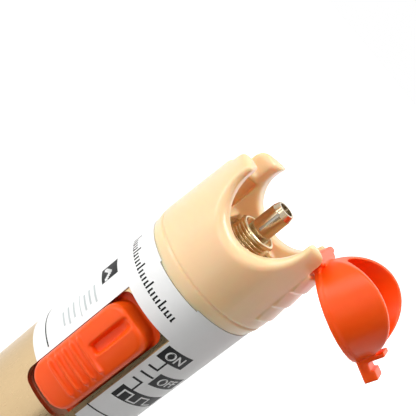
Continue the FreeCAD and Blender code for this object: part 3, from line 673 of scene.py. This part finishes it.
    def scale_band(self, finish: bpy.types.Material) -> bpy.types.Object:
        """Print a band of ticks under the seam, with every fifth tick full height.

        A tick is as wide as 0.45 of a step, and a short one ends 0.2 mm over the
        band's middle.

        Args:
            finish: the ink's material.

        Returns:
            The print.
        """
        first, last, low, high = self.band
        step = math.degrees(self.tick_step_mm * MM / self.radius)
        patches = [self.patch(first, last, low, low + self.band_line_mm)]
        for index, start in enumerate(np.arange(first, last, step)):
            top = high if index % 5 == 0 else (low + high) / 2 + 0.2
            patches.append(self.patch(start, start + step * 0.45, low, top))
        return self.ink("label_scale_band", patches, finish)

    def fibre_mark(
        self, black: bpy.types.Material, white: bpy.types.Material
    ) -> list[bpy.types.Object]:
        """Print a plain fibre mark left of the slider: a black field with a white chevron.

        Each arm is five blocks that step along its run and rise in equal shares. They
        stand over the field by a second layer of ink.

        Args:
            black: the field's ink.
            white: the chevron's ink.

        Returns:
            The two prints.
        """
        field = self.ink("label_mark_field", [self.patch(*self.mark_field)], black)
        wide, tall = self.chevron_block
        bars = []
        for angle, height, run, rise in self.chevron:
            for share in np.linspace(0.0, 1.0, 5):
                left, low = angle + run * share, height + rise * share
                bars.append(self.patch(left, left + wide, low, low + tall))
        for bar in bars:
            bar[..., :2] *= 1.0 + self.lift_mm * MM / self.radius
        return [field, self.ink("label_mark_chevron", bars, white)]

    def small_print(self, finish: bpy.types.Material) -> bpy.types.Object:
        """Print faint rules beside the slider, in groups of three with uneven ends.

        Args:
            finish: the ink's material.

        Returns:
            The print.
        """
        patches = [self.patch(*self.rule)]
        left, right = self.rule[:2]
        for index, low in enumerate(self.rules_mm):
            start, end = left + 2.0 + index % 3, right - 2.0 - 2.0 * (index % 2)
            patches.append(self.patch(start, end, low, low + self.rule_mm))
        return self.ink("label_small_print", patches, finish)

    def pulse(self, finish: bpy.types.Material) -> bpy.types.Object:
        """Draw a square wave on the lowest flag, for the blinking position.

        Each of four half waves is a level stroke and the upright at its start.

        Args:
            finish: the ink's material.

        Returns:
            The print.
        """
        low, high = self.pulse_mm
        wide, tall = self.pulse_stroke
        patches = []
        for index in range(4):
            start = self.pulse_start + index * self.pulse_half
            level = low if index % 2 else high
            patches.append(self.patch(start, start + self.pulse_half + wide, level - tall, level))
            patches.append(self.patch(start, start + wide, low - tall, high))
        return self.ink("label_pulse_mark", patches, finish)


@dataclass
class FibreAdapter:
    """Threaded barrel on its flange, turned from brass.

    Attributes:
        crest_mm: radius over the thread's crests.
        pitch_mm: distance between crests.
        groove_mm: depth of the thread.
        relief_mm: how far the ends of the thread lie under its crests.
        mouth_land_mm: how far the flat mouth lies under the crests.
        run_in_mm: plain lengths above and below the thread.
        full_share: share of the thread's length over which it reaches full depth.
        thread_rows: points along the thread.
        columns: points round the axis.
        annulus_mm: inner radius of the open ring at its mouth.
        annulus_depth_mm: how deep the open ring is.
        bore_mm: radius of the bore that holds the sleeve.
        bore_shown_mm: how far down the bore's wall goes.
        edge_mm: the small break of the mouth's inner edge.
        boss_mm: radius of the boss under the flange.
        boss_height_mm: height of the boss.
        boss_bore_mm: radius of the hole in its foot.
        flange_mm: thickness of the flange.
        flange_edge_mm: the small break of the flange's upper edge.
        foot_fillet_mm: height of the relief over the flange.
        squareness: power that sets how square the flange's corners are.
    """

    crest_mm: float = 4.0
    pitch_mm: float = 0.68
    groove_mm: float = 0.48
    relief_mm: float = 0.35
    mouth_land_mm: float = 0.4
    run_in_mm: tuple[float, float] = (0.35, 0.45)
    full_share: float = 0.125
    thread_rows: int = 96
    columns: int = 192
    annulus_mm: float = 3.3
    annulus_depth_mm: float = 3.5
    bore_mm: float = 2.22
    bore_shown_mm: float = 1.0
    edge_mm: float = 0.08
    boss_mm: float = 4.48
    boss_height_mm: float = 1.9
    boss_bore_mm: float = 1.7
    flange_mm: float = 1.5
    flange_edge_mm: float = 0.12
    foot_fillet_mm: float = 0.3
    squareness: float = 14.0

    def profile(self, foot: float, top: float) -> tuple[np.ndarray, np.ndarray]:
        """List the turned profile from the bore's mouth down to the boss.

        It runs from the bore over the open ring, down the thread, out over the flange,
        whose three points have no radius yet, and back to the boss.

        Args:
            foot: height of its lowest face, in millimetres.
            top: height of its mouth, in millimetres.

        Returns:
            Heights and radii, in millimetres.
        """
        seat = foot + self.boss_height_mm
        plate = seat + self.flange_mm
        floor = top - self.annulus_depth_mm
        rows, ends = self.thread_rows, self.crest_mm - self.relief_mm
        above, below = self.run_in_mm
        ring = self.annulus_mm
        heights = [
            [floor - self.bore_shown_mm, floor, floor, top - self.edge_mm, top, top],
            np.linspace(top - above, plate + below, rows),
            [plate + self.foot_fillet_mm, plate, plate, plate - self.flange_edge_mm, seat],
            [seat, foot, foot],
        ]
        radii = [
            [self.bore_mm, self.bore_mm, ring, ring, ring + self.edge_mm],
            [self.crest_mm - self.mouth_land_mm],
            np.full(rows, self.crest_mm),
            [ends, ends, 0.0, 0.0, 0.0],
            [self.boss_mm, self.boss_mm, self.boss_bore_mm],
        ]
        return np.concatenate(heights), np.concatenate(radii)

    def build(self) -> list[bpy.types.Object]:
        """Turn the barrel and flange as one surface round the axis.

        On the thread the radius drops by the groove's depth times a triangle wave of
        height / pitch - angle / turn, which makes a helix. On the flange the radius at
        each angle is (|cos / half width|^p + |sin / half depth|^p)^(-1/p), a rectangle
        with rounded corners.

        Returns:
            The adapter.
        """
        low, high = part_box("adapter_barrel")
        half_x, half_y = (high[0] - low[0]) / 2 / MM, (high[1] - low[1]) / 2 / MM
        heights, radii = self.profile(low[2] / MM, high[2] / MM)
        rows, before = self.thread_rows, 6
        turn = np.linspace(0.0, math.tau, self.columns + 1)[:-1][None, :]
        wave = np.abs(((heights[:, None] / self.pitch_mm - turn / math.tau) % 1.0) * 2.0 - 1.0)
        threaded = np.zeros((len(heights), 1))
        along = np.linspace(0.0, 1.0, rows)[:, None]
        threaded[before : before + rows] = np.minimum(1.0, along / self.full_share)
        radius = radii[:, None] - self.groove_mm * wave * threaded
        power = self.squareness
        sides = np.abs(np.cos(turn) / half_x) ** power + np.abs(np.sin(turn) / half_y) ** power
        inset = np.array([self.flange_edge_mm, 0.0, 0.0])[:, None]
        flange = slice(before + rows + 2, before + rows + 5)
        radius[flange] = sides ** (-1 / power) - inset
        tall = np.broadcast_to(heights[:, None], radius.shape)
        points = np.stack([radius * np.cos(turn), radius * np.sin(turn), tall], axis=-1)
        faces = grid_faces(len(heights), self.columns, True)
        piece = mesh_piece("threaded_adapter", points * MM, faces, THIN_NICKEL.build())
        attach(piece, "barrel")
        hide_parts("adapter_barrel")
        return [piece]


@dataclass(frozen=True)
class MouldedSkin:
    """Soft-edged skin of a moulded piece, grown from its solid and put in its place.

    Attributes:
        source: the solid that it follows and replaces.
        name: the skin's own name.
        body: the body that it rides on.
        slot: its material slot; not used.
        finish: what it is moulded from.
        cell_mm: side of the small cells that it is built of.
        soft_mm: how far its edges are rolled.
    """

    source: str
    name: str
    body: str
    slot: str
    finish: Finish
    cell_mm: float
    soft_mm: float

    def grown(self, node: bpy.types.Object) -> bpy.types.Mesh:
        """Merge a copy of the solid's mesh and rebuild it of even cells.

        Args:
            node: the solid's object.

        Returns:
            A mesh of quads.
        """
        copy = node.data.copy()
        loose = bmesh.new()
        loose.from_mesh(copy)
        bmesh.ops.remove_doubles(loose, verts=loose.verts, dist=WELD_MM * MM)
        loose.to_mesh(copy)
        loose.free()
        carrier = placed(f"{self.name}_carrier", copy)
        cells = carrier.modifiers.new("cells", "REMESH")
        cells.mode = "VOXEL"
        cells.voxel_size = self.cell_mm * MM * 1.0
        graph = bpy.context.evaluated_depsgraph_get()
        mesh = bpy.data.meshes.new_from_object(carrier.evaluated_get(graph))
        bpy.data.objects.remove(carrier)
        return mesh

    def trimmed(self, points: np.ndarray, seam: float) -> np.ndarray:
        """Give the places from which the edges are rolled: those of the solid."""
        return points

    def softness(self, points: np.ndarray, seam: float) -> np.ndarray:
        """Give each point's share of softening: all of it, everywhere."""
        return np.ones(len(points))

    def pressed(self, points: np.ndarray) -> np.ndarray:
        """Give the places after any relief that stays crisp: none here."""
        return points

    def rolled(self, mesh: bpy.types.Mesh, seam: float) -> np.ndarray:
        """Roll the edges: in each pass every point goes part of the way to its neighbours' mean.

        A pass that goes half the way spreads a point by a quarter of a cell squared, so
        the number of passes is four times (softness / cell) squared.

        Args:
            mesh: the mesh of even cells.
            seam: height of the seam, in metres.

        Returns:
            The new places, in metres.
        """
        points = self.trimmed(places(mesh), seam)
        ends = np.empty(len(mesh.edges) * 2, dtype=np.int32)
        mesh.edges.foreach_get("vertices", ends)
        first = np.concatenate([ends[0::2], ends[1::2]])
        other = np.concatenate([ends[1::2], ends[0::2]])
        count = np.maximum(np.bincount(first, minlength=len(points)), 1)[:, None]
        share = 0.5 * self.softness(points, seam)[:, None]
        for _ in range(max(round(4.0 * (self.soft_mm / self.cell_mm) ** 2), 2)):
            sums = [np.bincount(first, points[other, axis], len(points)) for axis in range(3)]
            points = points + share * (np.stack(sums, axis=-1) / count - points)
        return points

    def build(self, nodes: dict[str, bpy.types.Object], seam: float) -> bpy.types.Object:
        """Grow the skin, roll its edges, keep it in the solid's box and put it in place.

        Args:
            nodes: the frame's nodes by name.
            seam: height of the seam, in metres.

        Returns:
            The skin.
        """
        mesh = self.grown(nodes[self.source])
        low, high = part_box(self.source)
        points = self.pressed(self.rolled(mesh, seam))
        points = np.clip(points, np.array(low), np.array(high))
        mesh.vertices.foreach_set("co", points.ravel())
        mesh.materials.clear()
        mesh.materials.append(self.finish.build())
        mesh.polygons.foreach_set("use_smooth", np.full(len(mesh.polygons), True))
        mesh.update()
        skin = placed(self.name, mesh)
        if len(mesh.polygons) > MOST_QUADS:
            thin = skin.modifiers.new("thin", "DECIMATE")
            thin.ratio = MOST_QUADS / len(mesh.polygons)
        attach(skin, self.body)
        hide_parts(self.source)
        return skin


@dataclass(frozen=True)
class HeadSkin(MouldedSkin):
    """The head's skin: soft lips and prongs over a crisp band, groove and grip ribs.

    Attributes:
        crisp_below_mm: height over the seam under which edges stay crisp.
        crisp_rise_mm: height over which they grow soft.
        ribs_from_mm: distance towards the hinge past which the ribs stay crisp.
        ribs_top_mm: height over the seam at which the ribs end.
        least_share: share of softening where edges are crisp.
        prong_corner_mm: where the far hinge prong starts, towards the hinge and back.
        prong_top_mm: its height over the seam at that corner.
        prong_fall: how far it falls a millimetre further back, and a millimetre squared.
    """

    crisp_below_mm: float = 9.5
    crisp_rise_mm: float = 2.0
    ribs_from_mm: float = 10.8
    ribs_top_mm: float = 17.8
    least_share: float = 0.06
    prong_corner_mm: tuple[float, float] = (5.0, 5.5)
    prong_top_mm: float = 20.4
    prong_fall: tuple[float, float] = (0.5, 0.04)

    def trimmed(self, points: np.ndarray, seam: float) -> np.ndarray:
        """Slope the far hinge prong: top = height - fall * back - curve * back squared.

        Args:
            points: places in metres.
            seam: height of the seam, in metres.

        Returns:
            The new places, in metres.
        """
        side, start = self.prong_corner_mm
        fall, curve = self.prong_fall
        back = np.maximum(points[:, 1] / MM - start, 0.0)
        top = seam + (self.prong_top_mm - fall * back - curve * back**2) * MM
        prong = (points[:, 0] > side * MM) & (points[:, 1] > start * MM)
        points[:, 2] = np.where(prong, np.minimum(points[:, 2], top), points[:, 2])
        return points

    def softness(self, points: np.ndarray, seam: float) -> np.ndarray:
        """Give each point's share of softening.

        It rises from the crisp height, and falls over one millimetre past the start of
        the ribs, below their top.

        Args:
            points: places in metres.
            seam: height of the seam, in metres.

        Returns:
            One share a point.
        """
        over = (points[:, 2] - seam) / MM
        rise = np.clip((over - self.crisp_below_mm) / self.crisp_rise_mm, 0.0, 1.0)
        ribbed = np.clip(points[:, 0] / MM - self.ribs_from_mm, 0.0, 1.0)
        return np.maximum(rise * (1.0 - ribbed * (over < self.ribs_top_mm)), self.least_share)


@dataclass(frozen=True)
class SliderSkin(MouldedSkin):
    """The slider's skin, with its finger ridges and thumb recess pressed in.

    Places are from the slider's middle: across to the right, and along to the nose.

    Attributes:
        ridge_mm: height of a ridge.
        ridge_half_mm: half its width.
        ridge_reach_mm: half its length.
        ridges_mm: place of the first ridge and the step down to the next.
        ridge_count: how many there are.
        scoop_mm: how far the recess goes in beyond the solid's.
        scoop_place_mm: its middle, across and along.
        scoop_half_mm: half its width and length.
        face_mm: distance from the axis at which relief begins, and over which it grows.
    """

    ridge_mm: float = 0.42
    ridge_half_mm: float = 0.32
    ridge_reach_mm: float = 4.2
    ridges_mm: tuple[float, float] = (1.2, 1.9)
    ridge_count: int = 5
    scoop_mm: float = 0.9
    scoop_place_mm: tuple[float, float] = (-0.3, 6.6)
    scoop_half_mm: tuple[float, float] = (1.15, 4.0)
    face_mm: tuple[float, float] = (13.6, 0.8)

    def pressed(self, points: np.ndarray) -> np.ndarray:
        """Raise the ridges and scoop the recess.

        A ridge is height * exp(-(along / half width)^2) * exp(-(across / reach)^8). The
        recess is depth * exp(-(across / half width)^6 - (along / half length)^6). Both
        grow with the distance from the axis, so that the sides stay as they are.

        Args:
            points: places in metres.

        Returns:
            The new places, in metres.
        """
        low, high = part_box(self.source)
        middle = (low[2] + high[2]) / 2
        across, along = points[:, 0] / MM, (points[:, 2] - middle) / MM
        start, growth = self.face_mm
        face = np.clip((-points[:, 1] / MM - start) / growth, 0.0, 1.0)
        first, step = self.ridges_mm
        spots = first - step * np.arange(self.ridge_count)[:, None]
        bells = np.exp(-(((along - spots) / self.ridge_half_mm) ** 2)).sum(axis=0)
        rise = self.ridge_mm * bells * np.exp(-((across / self.ridge_reach_mm) ** 8))
        side, up = self.scoop_place_mm
        wide, tall = self.scoop_half_mm
        hollow = np.exp(-(((across - side) / wide) ** 6) - ((along - up) / tall) ** 6)
        points[:, 1] -= (rise - self.scoop_mm * hollow) * face * MM
        return points


@dataclass(frozen=True)
class Lamp:
    """A soft rectangular lamp that faces the head.

    Attributes:
        name: the lamp's name.
        spot: its place, in metres from the seam's centre.
        wide: its width, in metres.
        tall: its height, in metres.
        watts: its power.
    """

    name: str
    spot: tuple[float, float, float]
    wide: float
    tall: float
    watts: float

    def hang(self, seam: float) -> None:
        """Put the lamp in its place.

        Args:
            seam: height of the seam, in metres.
        """
        data = bpy.data.lights.new(self.name, "AREA")
        data.shape = "RECTANGLE"
        data.size, data.size_y = self.wide, self.tall
        data.energy = self.watts
        lamp = bpy.data.objects.new(self.name, data)
        side, depth, height = self.spot
        place = Matrix.Translation((side, depth, seam + height))
        facing = place.translation - Matrix.Translation((0, 0, seam)).translation
        lamp.matrix_world = place @ facing.to_track_quat("Z", "Y").to_matrix().to_4x4()
        bpy.context.scene.collection.objects.link(lamp)


LAMPS = (
    Lamp("key_softbox", (-0.54, -0.38, 0.26), 0.35, 0.75, 4.1),
    Lamp("top_softbox", (0.06, 0.04, 0.50), 0.22, 0.22, 1.9),
    Lamp("back_softbox", (0.10, 0.52, 0.26), 0.35, 0.70, 0.45),
    Lamp("side_strip", (0.60, -0.05, 0.20), 0.08, 0.60, 0.15),
    Lamp("front_strip", (-0.16, -0.52, 0.20), 0.05, 0.55, 0.55),
)


@dataclass
class Studio:
    """Pale floor, white surround, soft lamps and the camera.

    Attributes:
        seam: height of the seam, in metres.
        camera_mm: the camera's place, with its height over the seam.
        turn: rows of the camera's right, up and back directions.
        lens_mm: focal length on a sensor sensor_mm wide.
        sensor_mm: that width.
        clip_m: nearest and furthest distance that the camera sees.
        world_strength: strength of the even light from all round.
        floor_rings_m: radii of the floor's rings of points.
        floor_columns: points in each ring.
        glow_m: distances from the tail between which the floor's glow grows.
        glow: the least and the most of that glow.
        card_m: radius of the dark card round the pen.
        card_degrees: where it begins and ends, from the slider towards the hinge.
        card_foot_m: height of its lower edge.
        card_drop_m: how far its upper edge lies under the seam.
        card_grid: rows and columns of its points.
    """

    seam: float
    camera_mm: tuple[float, float, float]
    turn: tuple[tuple[float, float, float], ...]
    lens_mm: float = 72.76
    sensor_mm: float = 36.0
    clip_m: tuple[float, float] = (0.005, 50.0)
    world_strength: float = 0.15
    floor_rings_m: tuple[float, ...] = (0.0001, 0.5, 3.0)
    floor_columns: int = 64
    glow_m: tuple[float, float] = (0.15, 0.7)
    glow: tuple[float, float] = (0.42, 1.0)
    card_m: float = 0.13
    card_degrees: tuple[float, float] = (14.0, 66.0)
    card_foot_m: float = 0.02
    card_drop_m: float = 0.005
    card_grid: tuple[int, int] = (9, 25)

    def camera(self) -> None:
        """Set up the camera from its place and its three directions."""
        data = bpy.data.cameras.new("camera")
        data.lens = self.lens_mm
        data.sensor_width = self.sensor_mm
        data.clip_start, data.clip_end = self.clip_m
        lens = bpy.data.objects.new("camera", data)
        spin = Matrix(self.turn).transposed().to_4x4()
        x, y, z = (value * MM for value in self.camera_mm)
        lens.matrix_world = Matrix.Translation((x, y, self.seam + z)) @ spin
        bpy.context.scene.collection.objects.link(lens)
        bpy.context.scene.camera = lens

    def shown(self, tree_owner: bpy.types.Material | bpy.types.World) -> bpy.types.NodeSocket:
        """Give one to the camera, in reflections and through glass, and none to other rays.

        It is the larger of Is Camera Ray and the larger of the other two.

        Args:
            tree_owner: the material or world that asks.

        Returns:
            The socket that says so.
        """
        rays = add_node(tree_owner, "ShaderNodeLightPath").outputs
        larger = {"operation": "MAXIMUM"}
        clear = add_node(
            tree_owner,
            "ShaderNodeMath",
            larger,
            {0: rays["Is Glossy Ray"], 1: rays["Is Transmission Ray"]},
        ).outputs[0]
        return add_node(
            tree_owner, "ShaderNodeMath", larger, {0: rays["Is Camera Ray"], 1: clear}
        ).outputs[0]

    def surround(self) -> None:
        """Light the world softly, and show it white to the camera and in reflections."""
        world = bpy.data.worlds.new("studio")
        bpy.context.scene.world = world
        world.use_nodes = True
        world.node_tree.nodes.clear()
        white = (1.0, 1.0, 1.0, 1.0)
        soft, bright = (
            add_node(world, "ShaderNodeBackground", None, {"Color": white, "Strength": strength})
            for strength in (self.world_strength, 1.0)
        )
        mixed = add_node(
            world,
            "ShaderNodeMixShader",
            None,
            {0: self.shown(world), 1: soft.outputs[0], 2: bright.outputs[0]},
        )
        add_node(world, "ShaderNodeOutputWorld", None, {"Surface": mixed.outputs[0]})

    def paper(self) -> bpy.types.Material:
        """Make the floor's white paper.

        It is a matt white that glows a little to the camera and in reflections, least
        under the pen and by 1 further out, so that it reads as white and still shows
        the pen's shadow.

        Returns:
            The finished material.
        """
        material = Finish("white_studio_paper", "#F7F7F6", "#FAFAFA", 0.8, bump=0.02).build()
        tree = material.node_tree
        shader = next(node for node in tree.nodes if node.type == "BSDF_PRINCIPLED")
        place = add_node(material, "ShaderNodeTexCoord").outputs["Object"]
        away = add_node(
            material, "ShaderNodeVectorMath", {"operation": "LENGTH"}, {0: place}
        ).outputs["Value"]
        near, far = self.glow_m
        least, most = self.glow
        glow = add_node(
            material,
            "ShaderNodeMapRange",
            {"interpolation_type": "SMOOTHSTEP"},
            {"Value": away, "From Min": near, "From Max": far, "To Min": least, "To Max": most},
        ).outputs["Result"]
        strength = add_node(
            material,
            "ShaderNodeMath",
            {"operation": "MULTIPLY"},
            {0: glow, 1: self.shown(material)},
        ).outputs[0]
        shader.inputs["Emission Color"].default_value = (1.0, 1.0, 1.0, 1.0)
        tree.links.new(strength, shader.inputs["Emission Strength"])
        return material

    def floor(self) -> bpy.types.Object:
        """Lay a round white floor under the tail: rings of points at growing radii.

        Returns:
            The floor.
        """
        radii = np.array(self.floor_rings_m)[:, None]
        turn = np.linspace(0.0, math.tau, self.floor_columns + 1)[:-1][None, :]
        level = np.zeros((len(radii), self.floor_columns))
        points = np.stack([radii * np.cos(turn), radii * np.sin(turn), level], axis=-1)
        faces = grid_faces(len(radii), self.floor_columns, True)[:, ::-1]
        piece = mesh_piece("floor", points, faces, self.paper())
        return piece

    def card(self) -> bpy.types.Object:
        """Stand a dark card right of the slider, which only reflections and light meet.

        It is a strip of a cylinder round the pen and shades that side as a studio's
        black card does: x = radius * sin(angle), y = -radius * cos(angle).

        Returns:
            The card.
        """
        rows, columns = self.card_grid
        angles = np.radians(np.linspace(*self.card_degrees, columns))
        heights = np.linspace(self.card_foot_m, self.seam - self.card_drop_m, rows)
        angles, heights = np.meshgrid(angles, heights)
        points = [self.card_m * np.sin(angles), -self.card_m * np.cos(angles), heights]
        material = Finish("black_card", "#26241F", "#2B2924", 0.9, bump=0.0).build()
        faces = grid_faces(rows, columns, False)
        piece = mesh_piece("shade_card", np.stack(points, axis=-1), faces, material)
        piece.visible_camera = False
        return piece

    def build(self) -> None:
        """Set up the view, the floor, the card and the lamps."""
        bpy.context.scene.view_settings.view_transform = "Standard"
        self.camera()
        self.surround()
        self.floor()
        self.card()
        for lamp in LAMPS:
            lamp.hang(self.seam)


def dress_nodes(nodes: dict[str, bpy.types.Object]) -> None:
    """Give every node of the frame its finish.

    Args:
        nodes: the frame's nodes by name.
    """
    built: dict[str, bpy.types.Material] = {}
    for name, node in nodes.items():
        finish = NODE_FINISHES[name]
        if finish.name not in built:
            built[finish.name] = finish.build()
        for slot in node.material_slots:
            slot.material = built[finish.name]
        LOG.info("dressed %s in %s", name, finish.name)


def main() -> None:
    """Load the frame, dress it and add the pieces."""
    logging.basicConfig(level=logging.INFO, format="%(name)s: %(message)s")
    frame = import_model()
    dress_nodes(frame["nodes"])
    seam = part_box("barrel_tube")[1][2]
    low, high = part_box("label_sleeve")
    pieces = Label(seam, (high[0] - low[0]) / 2).build()
    pieces += FibreAdapter().build()
    skins = [
        HeadSkin("front_head", "rolled_head", "barrel", "cream_plastic", CREAM_ABS, 0.18, 0.6),
        MouldedSkin(
            "dust_cap", "rolled_dust_cover", "cap", "orange_plastic", ORANGE_PP, 0.15, 0.25
        ),
        SliderSkin(
            "slider_button", "rolled_slider", "slider", "orange_plastic", ORANGE_PP, 0.13, 0.32
        ),
    ]
    pieces += [skin.build(frame["nodes"], seam) for skin in skins]
    for piece in pieces:
        LOG.info("%s has %d faces", piece.name, len(piece.data.polygons))
    Studio(seam, CAMERA_MM, CAMERA_TURN).build()


if __name__ == "__main__":
    main()
